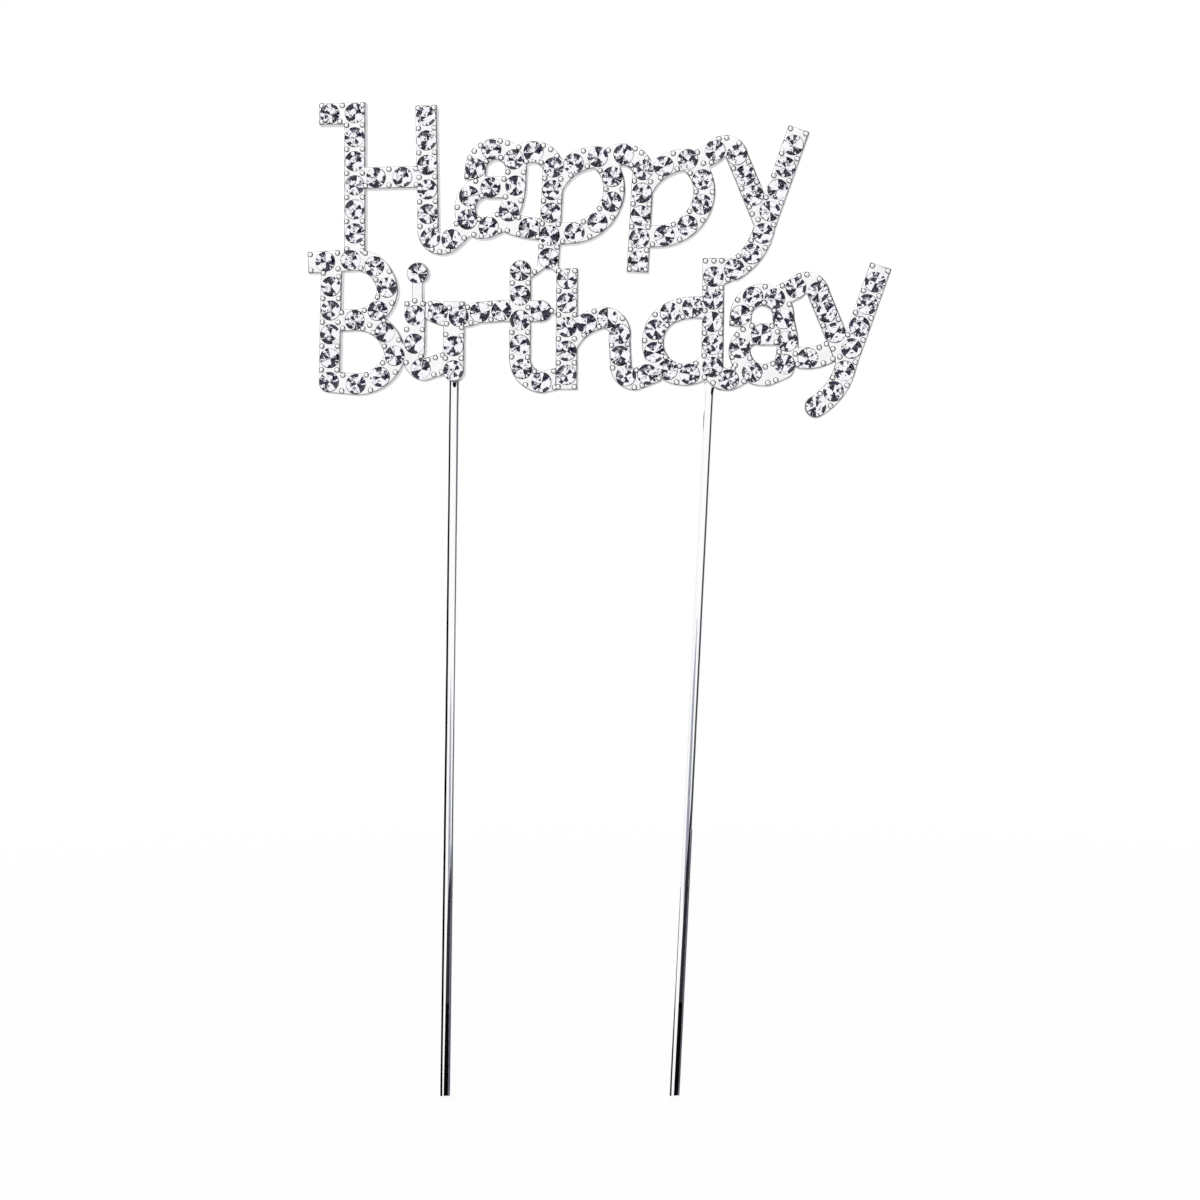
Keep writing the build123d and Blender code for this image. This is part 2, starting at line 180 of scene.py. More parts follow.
# The dark bands in each rod: a tone, and stations of height over the tip in mm with the band's two sides, as
# shares of the rod's half-width
ROD_BANDS = {
    "left": [
        ("edge", "black", [(113.5, -0.95, -0.62), (60, -0.91, -0.47), (0, -0.97, -0.54)]),
        ("side", "mid", [(113.5, 0.52, 0.88), (66, 0.66, 0.88), (40, 0.62, 0.92)]),
        ("middle", "grey", [
            (68, 0.10, 0.12), (60, 0.02, 0.29), (38, 0.0, 0.46), (33, 0.02, 0.14), (29, 0.02, 0.04),
        ]),
        ("low", "deep", [
            (40, 0.54, 0.58), (37, 0.46, 0.60), (33, 0.16, 0.62), (27, -0.03, 0.60), (15, -0.12, 0.60),
        ]),
        ("tip", "black", [(15, -0.12, 0.60), (0, -0.27, 0.60)]),
        ("low_side", "mid", [(40, 0.62, 0.92), (34, 0.62, 0.97), (0, 0.60, 0.97)]),
        ("top", "black", [(113.4, -0.3, 0.45), (112.6, -0.3, 0.45), (112.2, -0.1, 0.25)]),
    ],
    "right": [
        ("edge", "dark", [(111.5, 0.39, 0.72), (60, 0.37, 0.74), (42, 0.34, 0.76)]),
        ("middle", "grey", [
            (75, -0.24, -0.16), (64, -0.40, -0.02), (42, -0.33, 0.20), (36, -0.26, -0.02), (28, -0.14, -0.10),
        ]),
        ("low", "deep", [(48, 0.42, 0.46), (41, 0.20, 0.60), (36, 0.0, 0.62), (15, -0.12, 0.64)]),
        ("tip", "black", [(15, -0.12, 0.64), (0, -0.18, 0.68)]),
        ("low_side", "mid", [(42, 0.62, 0.90), (0, 0.66, 0.97)]),
        ("low_left", "deep", [
            (33, -0.84, -0.78), (18, -0.87, -0.73), (6, -0.95, -0.65), (0, -0.97, -0.65),
        ]),
        ("top", "black", [(110.8, 0.2, 0.8), (110.0, 0.25, 0.75), (109.6, 0.4, 0.6)]),
    ],
}


def new_mesh(name, vertices, faces, materials=()):
    """A mesh from corners and faces."""
    mesh = bpy.data.meshes.new(name)
    mesh.from_pydata(vertices, [], faces)
    for material in materials:
        mesh.materials.append(material)
    return mesh


def new_object(name, data):
    """An object in the scene."""
    thing = bpy.data.objects.new(name, data)
    bpy.context.scene.collection.objects.link(thing)
    return thing


def new_piece(name, vertices, faces, materials, slot, replaced=(), smooth=True):
    """A mesh piece of the object, riding on its only body."""
    mesh = new_mesh(name, vertices, faces, materials)
    mesh.polygons.foreach_set("use_smooth", [smooth] * len(mesh.polygons))
    mesh.update()
    piece = new_object(name, mesh)
    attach(piece, "root")
    if replaced:
        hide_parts(*replaced)
    return piece


def circle(sides):
    """The cosine and sine at each corner of a ring."""
    turns = [math.tau * n / sides for n in range(sides)]
    return [(math.cos(turn), math.sin(turn)) for turn in turns]


def tube_faces(start, rings, sides, turned=False):
    """The side faces of a tube, whose rings of corners follow each other from a start. Turned, they look the
    other way."""
    faces = []
    for ring in range(rings - 1):
        low, high = start + ring * sides, start + (ring + 1) * sides
        for n in range(sides):
            after = (n + 1) % sides
            if turned:
                faces.append((low + n, high + n, high + after, low + after))
            else:
                faces.append((low + n, low + after, high + after, high + n))
    return faces


def bulged(value, power):
    """A sine or cosine pushed outwards by a power under 1, which squares off a circle."""
    return math.copysign(abs(value) ** power, value)


class Nodes:
    """A material's node tree, with short calls to add and join nodes."""

    def __init__(self, name):
        self.material = bpy.data.materials.new(name)
        self.material.use_nodes = True
        self.tree = self.material.node_tree
        self.shader = self.tree.nodes["Principled BSDF"]
        self.output = self.tree.nodes["Material Output"]

    def give(self, constants):
        """Sets inputs of the shader to plain values."""
        for name, value in constants.items():
            self.shader.inputs[name].default_value = value

    def add(self, kind, **settings):
        """A new node with settings of its own."""
        node = self.tree.nodes.new(kind)
        for key, value in settings.items():
            setattr(node, key, value)
        return node

    def join(self, source, target):
        """Links an output to an input."""
        self.tree.links.new(source, target)

    def place(self, stretch=(1, 1, 1)):
        """The object's own coordinates, in metres, stretched."""
        coordinates = self.add("ShaderNodeTexCoord")
        mapping = self.add("ShaderNodeMapping")
        mapping.inputs["Scale"].default_value = stretch
        self.join(coordinates.outputs["Object"], mapping.inputs["Vector"])
        return mapping.outputs["Vector"]

    def noise(self, where, scale, detail=3.0):
        """Cloudy noise from 0 to 1, with a scale per metre."""
        node = self.add("ShaderNodeTexNoise")
        node.inputs["Scale"].default_value = scale
        node.inputs["Detail"].default_value = detail
        self.join(where, node.inputs["Vector"])
        return node.outputs["Fac"]

    def ramp(self, factor, *stops):
        """Colours along a factor, each stop a position with a colour."""
        node = self.add("ShaderNodeValToRGB")
        elements = node.color_ramp.elements
        for element, (position, colour) in zip(elements, stops):
            element.position = position
            element.color = (*colour, 1)
        self.join(factor, node.inputs["Fac"])
        return node.outputs["Color"]

    def spread(self, factor, low, high):
        """A factor from 0 to 1 spread over a range of values."""
        node = self.add("ShaderNodeMapRange")
        node.inputs["To Min"].default_value = low
        node.inputs["To Max"].default_value = high
        self.join(factor, node.inputs["Value"])
        return node.outputs["Result"]

    def bump(self, height, strength, distance):
        """Fine unevenness on the shader's surface."""
        node = self.add("ShaderNodeBump")
        node.inputs["Strength"].default_value = strength
        node.inputs["Distance"].default_value = distance
        self.join(height, node.inputs["Height"])
        self.join(node.outputs["Normal"], self.shader.inputs["Normal"])


def metal(name, scale, tints, roughness, stops=(0.3, 0.7), detail=3.0, stretch=(1, 1, 1)):
    """Bare metal whose tint and roughness vary together in patches."""
    nodes = Nodes(name)
    nodes.give({"Metallic": 1.0})
    nodes.where = nodes.place(stretch)
    nodes.patches = nodes.noise(nodes.where, scale, detail)
    nodes.join(nodes.ramp(nodes.patches, *zip(stops, tints)), nodes.shader.inputs["Base Color"])
    nodes.join(nodes.spread(nodes.patches, *roughness), nodes.shader.inputs["Roughness"])
    return nodes


def silver_material():
    """Bright silver plating on a casting: soft unevenness, faint pits, a little dulling."""
    nodes = metal("silver_plating", 420, [(0.90, 0.905, 0.915), (0.96, 0.96, 0.965)], (0.30, 0.20))
    nodes.bump(nodes.noise(nodes.where, 2600, detail=4), strength=0.25, distance=0.03 * MM)
    return nodes.material


def cast_and_edge_shade_material(name, low, high):
    """Duller plating on walls and the back, where the polishing doesn't reach; on the rounded edges its
    darker tones paint a shade line.
    """
    nodes = metal(name, 900, [(tone, tone, 1.02 * tone) for tone in (low, high)], (0.45, 0.32))
    nodes.bump(nodes.noise(nodes.where, 3000, detail=4), strength=0.3, distance=0.03 * MM)
    return nodes.material


def seat_and_foot_shade_material():
    """Painted shade, as dark as a deep crevice, in the stones' seats and at the foot of the grains."""
    return metal("seat_and_foot_painted_shade", 1600, [(0.035, 0.034, 0.04), (0.20, 0.195, 0.20)], (0.6, 0.42)).material


def bead_material():
    """The same plating, polished by wear on the raised grains."""
    return metal("polished_grain", 1500, [(0.86, 0.86, 0.88), (0.95, 0.95, 0.96)], (0.38, 0.24)).material


def crystal_material():
    """Clear glass with a faint blue tint."""
    nodes = Nodes("clear_crystal")
    nodes.give({"Base Color": (0.952, 0.957, 1.0, 1), "Roughness": 0.0, "IOR": 1.45})
    nodes.give({"Specular IOR Level": 0.08, "Transmission Weight": 1.0})
    return nodes.material


def foil_material():
    """The mirror foil behind a stone, one tone to a facet; the dark tones are painted reflections."""
    nodes = Nodes("mirror_foil")
    nodes.give({"Metallic": 1.0, "Roughness": 0.01})
    tone = nodes.add("ShaderNodeAttribute", attribute_name="tone")
    nodes.join(tone.outputs["Color"], nodes.shader.inputs["Base Color"])
    return nodes.material


def chrome_material():
    """Drawn and plated wire: mirror bright, with faint lines along it."""
    tints = [(0.945, 0.95, 0.965), (0.985, 0.985, 0.99)]
    nodes = metal("chromed_wire", 2200, tints, (0.02, 0.06), detail=4, stretch=(1, 1, 0.02))
    nodes.bump(nodes.patches, strength=0.06, distance=0.02 * MM)
    return nodes.material


def solder_material():
    """Dull solder with darker flux stains."""
    tints = [(0.30, 0.29, 0.28), (0.70, 0.70, 0.71)]
    nodes = metal("dull_solder", 700, tints, (0.5, 0.28), stops=(0.35, 0.55), detail=5)
    nodes.bump(nodes.noise(nodes.where, 1800), strength=0.4, distance=0.05 * MM)
    return nodes.material


def levels_of(letter):
    """The letter's bead tops, face and back, as Y."""
    heights = sorted({round(v.co.y, 6) for v in frame["nodes"][letter].data.vertices})
    return heights[0], heights[1], heights[-1]


def points_at(node, level):
    """Where the node's mesh has a corner at a level, each once, from left to right."""
    corners = {
        (round(v.co.x, 6), round(v.co.z, 6))
        for v in frame["nodes"][node].data.vertices
        if abs(v.co.y - level) < SAME_LEVEL
    }
    return sorted(corners)


def stone_centres(letter):
    """Where a letter's stones stand: the deepest point of each solid."""
    node = "stones_" + letter
    return points_at(node, round(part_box(node)[1].y, 6))


def cross(a, b):
    """The cross product of flat vectors, as a number."""
    return a[..., 0] * b[..., 1] - a[..., 1] * b[..., 0]


class Outline:
    """A letter's flat outline, from the back of its plate: points, triangles and directed edges."""

    def __init__(self, letter):
        self.face, self.back = levels_of(letter)[1:]
        mesh = frame["nodes"][letter].data
        index = {}
        self.triangles = []
        for polygon in mesh.polygons:
            corners = [mesh.vertices[i].co for i in polygon.vertices]
            if max(abs(c.y - self.back) for c in corners) < SAME_LEVEL:
                keys = [(round(c.x, 7), round(c.z, 7)) for c in corners]
                self.triangles.append([index.setdefault(key, len(index)) for key in keys])
        self.points = np.array(list(index))
        directed = {(t[n], t[(n + 1) % 3]) for t in self.triangles for n in range(3)}
        self.edges = sorted(edge for edge in directed if edge[::-1] not in directed)

    def outward(self, edge):
        """The way out of the outline across an edge, and the way along it."""
        along = self.points[edge[1]] - self.points[edge[0]]
        along = along / np.linalg.norm(along)
        return np.array([-along[1], along[0]]), along

    def holds(self, spots):
        """For each spot, whether it lies inside the outline."""
        inside = np.zeros(len(spots), bool)
        for a, b, c in (self.points[t] for t in self.triangles):
            sides = [cross(q - p, spots - p) for p, q in ((a, b), (b, c), (c, a))]
            inside |= (np.minimum.reduce(sides) > 0) | (np.maximum.reduce(sides) < 0)
        return inside


def seams(outlines, letter):
    """The edges of a letter that butt against another letter."""
    own = outlines[letter]
    probes = np.array([own.points[list(e)].mean(0) + own.outward(e)[0] * SEAM_PROBE for e in own.edges])
    covered = np.zeros(len(probes), bool)
    for name, other in outlines.items():
        if name != letter:
            covered |= other.holds(probes)
    return {edge for edge, hidden in zip(own.edges, covered) if hidden}


def rounding_ways(outline, hidden):
    """How each point moves out when the outline grows by one: along a seam at its ends, mitred elsewhere."""
    ways = np.zeros_like(outline.points)
    before = {b: (a, b) for a, b in outline.edges}
    for edge in outline.edges:
        point = edge[0]
        previous = before[point]
        if edge in hidden and previous in hidden:
            continue
        out_next, along_next = outline.outward(edge)
        out_last, along_last = outline.outward(previous)
        if edge in hidden:
            ways[point] = slide(along_next, out_last)
        elif previous in hidden:
            ways[point] = slide(along_last, out_next)
        else:
            ways[point] = (out_next + out_last) / max(1 + out_next @ out_last, MITRE_LEAST)
    settle(outline, ways)
    return ways


def slide(seam, out):
    """Moves a point along a seam, so that it keeps its place beside the neighbour."""
    lean = seam @ out
    return seam / lean if abs(lean) > SEAM_LEAN else np.zeros(2)


def settle(outline, ways):
    """Lets both ends of an edge that is too short for the rounding move together, so that it can't turn."""
    for _ in range(SETTLE_PASSES):
        for a, b in outline.edges:
            along = outline.points[b] - outline.points[a]
            left = along - (ways[b] - ways[a]) * FRONT_ROUND
            if left @ along < SHORT_EDGE * (along @ along):
                ways[a] = ways[b] = (ways[a] + ways[b]) / 2


def edge_profile(outline):
    """Rings round the plate's edge from face to back, each an inset and a depth."""
    turns = [math.pi / 2 * n / ROUND_STEPS for n in range(ROUND_STEPS + 1)]
    front = [(1 - math.sin(turn), 1 - math.cos(turn)) for turn in turns]
    back = [(1 - math.cos(turn), 1 - math.sin(turn)) for turn in turns]
    rings = [(FRONT_ROUND * inset, outline.face + FRONT_ROUND * depth) for inset, depth in front]
    rings += [(BACK_ROUND * inset, outline.back - BACK_ROUND * depth) for inset, depth in back]
    return rings


def make_plate(letter, outline, hidden, seats, finishes):
    """A letter's plate with rounded edges, flush with its neighbours at the seams."""
    ways = rounding_ways(outline, hidden)
    rings = edge_profile(outline)
    count = len(outline.points)
    vertices = []
    for inset, depth in rings:
        vertices += [(x, depth, z) for x, z in outline.points - ways * inset]
    faces = [tuple(reversed(t)) for t in outline.triangles]
    last = (len(rings) - 1) * count
    faces += [tuple(last + i for i in t) for t in outline.triangles]
    for ring in range(len(rings) - 1):
        near, far = ring * count, (ring + 1) * count
        faces += [(near + a, near + b, far + b, far + a) for a, b in outline.edges]
    plate = new_piece("plate_" + letter, vertices, faces, finishes, "silver_plate", [letter])
    # Past the bright steps the rounding takes darker tones, a painted shade line.
    bands = [FACE] * BRIGHT_STEPS + [SHADED_EDGE] * (ROUND_STEPS - BRIGHT_STEPS) + [WALL] * (ROUND_STEPS + 1)
    kinds = [FACE] * len(outline.triangles) + [BACK] * len(outline.triangles)
    for band in bands:
        kinds += [band] * len(outline.edges)
    plate.data.polygons.foreach_set("material_index", kinds)
    cut_seats(plate, outline, seats)
    curved = [abs(polygon.normal.y) <= FLAT_NORMAL for polygon in plate.data.polygons]
    plate.data.polygons.foreach_set("use_smooth", curved)
    plate.data.set_sharp_from_angle(angle=PLATE_CREASE)


def cut_seats(plate, outline, seats):
    """Sinks a round seat into a plate under each stone that reaches it."""
    low, high = outline.points.min(0) - seats.radius, outline.points.max(0) + seats.radius
    vertices, faces = [], []
    for centre in seats.centres:
        if (centre < low).any() or (centre > high).any():
            continue
        start = len(vertices)
        x, z = centre
        for radius, depth in seats.profile:
            vertices += [(x + radius * c, depth, z + radius * s) for c, s in circle(SEAT_SIDES)]
        faces += tube_faces(start, len(seats.profile), SEAT_SIDES, turned=True)
        faces.append(tuple(range(start, start + SEAT_SIDES)))
        faces.append(tuple(reversed(range(len(vertices) - SEAT_SIDES, len(vertices)))))
    mesh = new_mesh("seats", vertices, faces)
    # The seat's walls take the painted shade finish.
    mesh.polygons.foreach_set("material_index", [SHADED_SEAT] * len(faces))
    cutter = new_object("seats", mesh)
    cut = plate.modifiers.new("seats", "BOOLEAN")
    cut.object = cutter
    cut.use_self = True
    bpy.context.view_layer.update()
    shaped = plate.evaluated_get(bpy.context.evaluated_depsgraph_get())
    plate.data = bpy.data.meshes.new_from_object(shaped)
    plate.modifiers.clear()
    bpy.data.objects.remove(cutter)
    weld(plate.data)


def weld(mesh):
    """Joins the doubled corners and drops the needle faces that cutting leaves."""
    cleaner = bmesh.new()
    cleaner.from_mesh(mesh)
    bmesh.ops.remove_doubles(cleaner, verts=cleaner.verts, dist=WELD_GAP)
    bmesh.ops.dissolve_degenerate(cleaner, edges=cleaner.edges, dist=NEEDLE_WIDTH)
    cleaner.to_mesh(mesh)
    cleaner.free()


class Seats:
    """Where all the stones sit, and the profile of the hole that each one needs."""

    def __init__(self):
        self.centres, away = [], []
        for letter in LETTERS:
            node = "stones_" + letter
            low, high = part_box(node)
            centres = np.array(stone_centres(letter))
            corners = np.array([(v.co.x, v.co.z) for v in frame["nodes"][node].data.vertices])
            away.append(np.linalg.norm(corners[:, None] - centres[None], axis=2).min(1).max())
            self.centres.extend(centres)
        self.stone_radius = max(away)
        self.radius = self.stone_radius + SEAT_GAP
        face = levels_of(LETTERS[0])[1]
        self.crown = face - low.y
        self.pavilion = high.y - face
        self.profile = [
            (self.radius, face - SEAT_HEADROOM),
            (self.radius, face + SEAT_LEDGE),
            (SEAT_GAP, high.y + SEAT_LEDGE),
        ]


def gaps_to_edges(spots, starts, ends):
    """The distance from each spot to each edge."""
    along = ends - starts
    share = ((spots[:, None] - starts) * along).sum(2) / (along**2).sum(1)
    nearest = starts + along * np.clip(share, 0, 1)[..., None]
    return np.linalg.norm(spots[:, None] - nearest, axis=2)


def bead_spots(letter, outlines, hidden, seats, taken):
    """The raised points of a letter's plate, and more grains along its edges wherever stones leave room."""
    outline = outlines[letter]
    edges = [edge for edge in outline.edges if edge not in hidden]
    starts = np.array([outline.points[a] for a, b in edges])
    ends = np.array([outline.points[b] for a, b in edges])
    outs = np.array([outline.outward(edge)[0] for edge in edges])
    spots, depths = [], []
    for start, end, out in zip(starts, ends, outs):
        count = max(1, round(np.linalg.norm(end - start) / BEAD_STEP))
        shares = (np.arange(count) + 0.5) / count
        spots.extend(start + (end - start) * share - out * BEAD_INSET for share in shares)
        depths.extend(start + (end - start) * share - out * BEAD_FLOOR for share in shares)
    spots, depths = np.array(spots), np.array(depths)
    wide = np.logical_or.reduce([plate.holds(depths) for plate in outlines.values()])
    gaps = gaps_to_edges(spots, starts, ends)
    corner = np.array([(outs[row < INSET_MOST] @ outs[row.argmin()]).min() < CORNER_TURN for row in gaps])
    stones = np.sort(np.linalg.norm(spots[:, None] - np.array(seats.centres), axis=2), axis=1)
    fits = outline.holds(spots) & (gaps.min(1) > INSET_LEAST)
    fits &= stones[:, 0] > seats.stone_radius + np.where(corner, CORNER_CLEAR, STONE_CLEAR)
    fits &= wide & (stones[:, 1] < BEAD_REACH) | corner
    chosen = points_at(letter, levels_of(letter)[0])
    taken.extend(np.array(spot) for spot in chosen)
    for n in np.argsort(stones[:, 0] + stones[:, 1]):
        if fits[n] and min(np.linalg.norm(spots[n] - other) for other in taken) > BEAD_PITCH:
            taken.append(spots[n])
            chosen.append(tuple(spots[n]))
    return chosen


def make_beads(letter, spots, bright, dark):
    """Round grains on a letter's plate, each with painted shade on its foot."""
    face = levels_of(letter)[1]
    vertices, faces, kinds = [], [], []
    for x, z in spots:
        start = len(vertices)
        for share, rise in BEAD_PROFILE:
            radius, depth = BEAD_RADIUS * share, face - BEAD_HEIGHT * rise
            vertices += [(x + radius * c, depth, z + radius * s) for c, s in circle(BEAD_SIDES)]
        top = len(vertices)
        last = top - BEAD_SIDES
        vertices.append((x, face - BEAD_HEIGHT, z))
        sides = tube_faces(start, len(BEAD_PROFILE), BEAD_SIDES)
        sides += [(last + n, last + (n + 1) % BEAD_SIDES, top) for n in range(BEAD_SIDES)]
        faces += sides
        faces.append(tuple(reversed(range(start, start + BEAD_SIDES))))
        kinds += [SHADED_FOOT] * BEAD_SIDES + [GRAIN] * (len(sides) - BEAD_SIDES) + [SHADED_FOOT]
    beads = new_piece("beads_" + letter, vertices, faces, [bright, dark], "silver_plate")
    beads.data.polygons.foreach_set("material_index", kinds)


def brilliant(radius, crown, pavilion):
    """A round brilliant about +Z: corners, crown facets, and the pavilion's outer and inner facets."""

    def ring(share, height, count, turn=0.0):
        angles = [math.tau * (n + turn) / count for n in range(count)]
        return [(radius * share * math.cos(a), radius * share * math.sin(a), height) for a in angles]

    # The star corners lie in the planes of the crown's main facets
    star_reach = STAR_SHARE * math.cos(math.pi / FOLDS)
    star_height = crown * (1 - star_reach) / (1 - TABLE_SHARE)
    corners = ring(TABLE_SHARE, crown + GIRDLE_HEIGHT, FOLDS)
    corners += ring(STAR_SHARE, star_height + GIRDLE_HEIGHT, FOLDS, 0.5)
    corners += ring(1, GIRDLE_HEIGHT, GIRDLE_SIDES) + ring(1, 0, GIRDLE_SIDES)
    corners += ring(BELT_SHARE, -pavilion * BELT_DEPTH_SHARE, GIRDLE_SIDES) + [(0, 0, -pavilion)]
    table, star, girdle, foot, belt, culet = (FOLDS * n for n in (0, 1, 2, 4, 6, 8))
    facets = [tuple(range(FOLDS))]
    for n in range(FOLDS):
        after, before = (n + 1) % FOLDS, (n - 1) % FOLDS
        main, middle, end = 2 * n, 2 * n + 1, (2 * n + 2) % GIRDLE_SIDES
        facets.append((table + n, star + n, table + after))
        facets.append((table + n, star + before, girdle + main, star + n))
        facets.append((star + n, girdle + main, girdle + middle))
        facets.append((star + n, girdle + middle, girdle + end))
        facets.append((girdle + main, foot + main, foot + middle, girdle + middle))
        facets.append((girdle + middle, foot + middle, foot + end, girdle + end))
    outer = tube_faces(foot, 2, GIRDLE_SIDES, turned=True)
    inner = [(belt + n, culet, belt + (n + 1) % GIRDLE_SIDES) for n in range(GIRDLE_SIDES)]
    return corners, facets, outer, inner


def foil_row(dice, runs, count):
    """The tones of a row of facets: runs of painted dark reflections with at least one white facet after
    each.
    """
    blocks = [[PAINTED_DARK_REFLECTION] * run + [WHITE_FOIL] for run in runs]
    while sum(len(block) for block in blocks) < count:
        dice.choice(blocks).append(WHITE_FOIL)
    row = [tone for block in blocks for tone in block]
    turn = dice.randrange(count)
    return row[turn:] + row[:turn]


def make_stones(letter, seats, crystal, foil):
    """A letter's stones, each turned its own way, with one foil tone to each pavilion facet; its dark tones
    are painted reflections.
    """
    face = levels_of(letter)[1]
    corners, crown, outer, inner = brilliant(seats.stone_radius, seats.crown, seats.pavilion)
    dice = random.Random(letter)
    vertices, faces, kinds, tones = [], [], [], []
    for x, z in stone_centres(letter):
        start = len(vertices)
        turn = Matrix.Rotation(dice.uniform(0, math.tau), 3, "Z")
        tilt = Matrix.Rotation(math.radians(dice.uniform(-STONE_TILT, STONE_TILT)), 3, "X")
        slip = dice.uniform(0, math.tau)
        x, z = x + SEAT_SLACK * math.cos(slip), z + SEAT_SLACK * math.sin(slip)
        for corner in corners:
            a, b, c = tilt @ turn @ Vector(corner)
            vertices.append((x + a, face - STONE_LIFT - c, z + b))
        for facet in crown + outer + inner:
            faces.append(tuple(start + i for i in facet))
        kinds += [CRYSTAL] * len(crown) + [FOIL] * len(outer + inner)
        tones += [WHITE_FOIL] * len(crown)
        tones += foil_row(dice, OUTER_RUNS, len(outer))
        tones += foil_row(dice, INNER_RUNS, len(inner))
    materials, node = [crystal, foil], "stones_" + letter
    stones = new_piece("crystals_" + letter, vertices, faces, materials, "stone", [node], smooth=False)
    stones.data.polygons.foreach_set("material_index", kinds)
    colours = stones.data.attributes.new("tone", "FLOAT_COLOR", "FACE")
    for item, tone in zip(colours.data, tones):
        item.color = (*tone, 1)


class Rod:
    """The line and size of a rod's bare wire, as its mount gives them."""

    def __init__(self, side):
        mount = MOUNTS["rod_" + side]
        self.tip = Vector(mount["pos_m"])
        self.up = -Vector(mount["axis"])
        self.across = BEHIND.cross(self.up)
        self.radius = mount["dims"]["r_mm"] * MM
        self.length = mount["dims"]["length_mm"] * MM

    def section(self, centre, width, depth, squareness=ROUND):
        """A closed ring of points across the wire."""
        points = []
        for c, s in circle(ROD_SIDES):
            u = bulged(c, 2 / squareness) * width / 2
            v = bulged(s, 2 / squareness) * depth / 2
            points.append(centre + self.across * u + BEHIND * v)
        return points


def skin(rings):
    """Vertices and faces of a closed tube through rings of equal count."""
    sides = len(rings[0])
    vertices = [tuple(point) for ring in rings for point in ring]
    ends = [tuple(reversed(range(sides))), tuple(range(len(vertices) - sides, len(vertices)))]
    return vertices, ends + tube_faces(0, len(rings), sides)


def make_rod(side, back, material):
    """A wire rod from its cut tip up to its pressed end on the plate's back."""
    name = "rod_" + side
    rod = Rod(side)
    size = 2 * rod.radius
    flat_width = math.pi * rod.radius**2 / FLAT_THICKNESS
    dice = random.Random(name)
    rings = []
    for height, share in TIP_PROFILE:
        rings.append(rod.section(rod.tip + rod.up * height, size * share, size * share))
    for n in range(1, ROD_BENDS):
        sway = rod.across * dice.uniform(-1, 1) * ROD_SWAY
        rings.append(rod.section(rod.tip + rod.up * rod.length * n / ROD_BENDS + sway, size, size))
    for n in range(PRESS_STEPS + 1):
        share = n / PRESS_STEPS
        ease = share * share * (3 - 2 * share)
        depth = size + (FLAT_THICKNESS - size) * ease
        width = size + (flat_width - size) * ease
        centre = rod.tip + rod.up * (rod.length + PRESS_LENGTH * share)
        centre.y = back + depth / 2
        rings.append(rod.section(centre, width, depth, ROUND + (SQUARE - ROUND) * ease))
    for from_end, share in END_PROFILE:
        centre = rod.tip + rod.up * (rod.length + FLAT_END - from_end)
        centre.y = back + FLAT_THICKNESS * share / 2
        rings.append(rod.section(centre, flat_width * share, FLAT_THICKNESS * share, SQUARE))
    wire = new_piece("wire_" + name, *skin(rings), [material], "rod_chrome", [name])
    wire.data.set_sharp_from_angle(angle=ROD_CREASE)


def make_solder(side, back, material):
    """A run of solder that has wetted the plate round a rod's pressed end."""
    name = "solder_" + side
    rod = Rod(side)
    low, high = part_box(name)
    middle = (low + high) / 2
    long_half, wide_half = (high.z - low.z) / 2, (high.x - low.x) / 2 * SOLDER_WIDTH
    rise = high.y - back
    vertices = [(middle.x, back + rise, middle.z)]
    for ring in range(1, SOLDER_RINGS):
        share = ring / (SOLDER_RINGS - 1)
        height = rise * (1 - share**SOLDER_LEVEL) ** SOLDER_SLOPE
        for c, s in circle(SOLDER_SIDES):
            u = bulged(c, SOLDER_ENDS) * long_half * share
            v = bulged(s, SOLDER_FLANKS) * wide_half * share
            lump = noise.noise(Vector((u, v, middle.x)) / LUMP_LENGTH) * SOLDER_LUMP * (1 - share)
            point = middle + rod.up * u + rod.across * v
            vertices.append((point.x, back + height + lump, point.z))
    faces = [(0, 1 + n, 1 + (n + 1) % SOLDER_SIDES) for n in range(SOLDER_SIDES)]
    faces += tube_faces(1, SOLDER_RINGS - 1, SOLDER_SIDES, turned=True)
    faces.append(tuple(reversed(range(len(vertices) - SOLDER_SIDES, len(vertices)))))
    new_piece("run_" + name, vertices, faces, [material], "solder", [name])


def make_object():
    """All the pieces of the topper."""
    outlines = {letter: Outline(letter) for letter in LETTERS}
    seats = Seats()
    seat_and_foot_shade = seat_and_foot_shade_material()
    # The edge and seat finishes are painted shade.
    finishes = [
        silver_material(),
        cast_and_edge_shade_material("edge_painted_shade", 0.28, 0.46),
        cast_and_edge_shade_material("wall_plating", 0.60, 0.78),
        cast_and_edge_shade_material("back_plating", 0.46, 0.62),
        seat_and_foot_shade,
    ]
    grain, crystal, foil = bead_material(), crystal_material(), foil_material()
    beads_set = []
    for letter in LETTERS:
        hidden = seams(outlines, letter)
        make_plate(letter, outlines[letter], hidden, seats, finishes)
        make_beads(letter, bead_spots(letter, outlines, hidden, seats, beads_set), grain, seat_and_foot_shade)
        make_stones(letter, seats, crystal, foil)
    back = outlines[LETTERS[0]].back
    chrome, solder = chrome_material(), solder_material()
    for side in ("left", "right"):
        make_rod(side, back, chrome)
        make_solder(side, back, solder)


def seen_rays(tree):
    """1 for rays that see the background: from the camera, or by way of metal or glass."""
    path = tree.nodes.new("ShaderNodeLightPath")
    total = path.outputs["Is Camera Ray"]
    for kind in ("Is Glossy Ray", "Is Transmission Ray"):
        either = tree.nodes.new("ShaderNodeMath")
        either.operation = "MAXIMUM"
        tree.links.new(total, either.inputs[0])
        tree.links.new(path.outputs[kind], either.inputs[1])
        total = either.outputs[0]
    return total


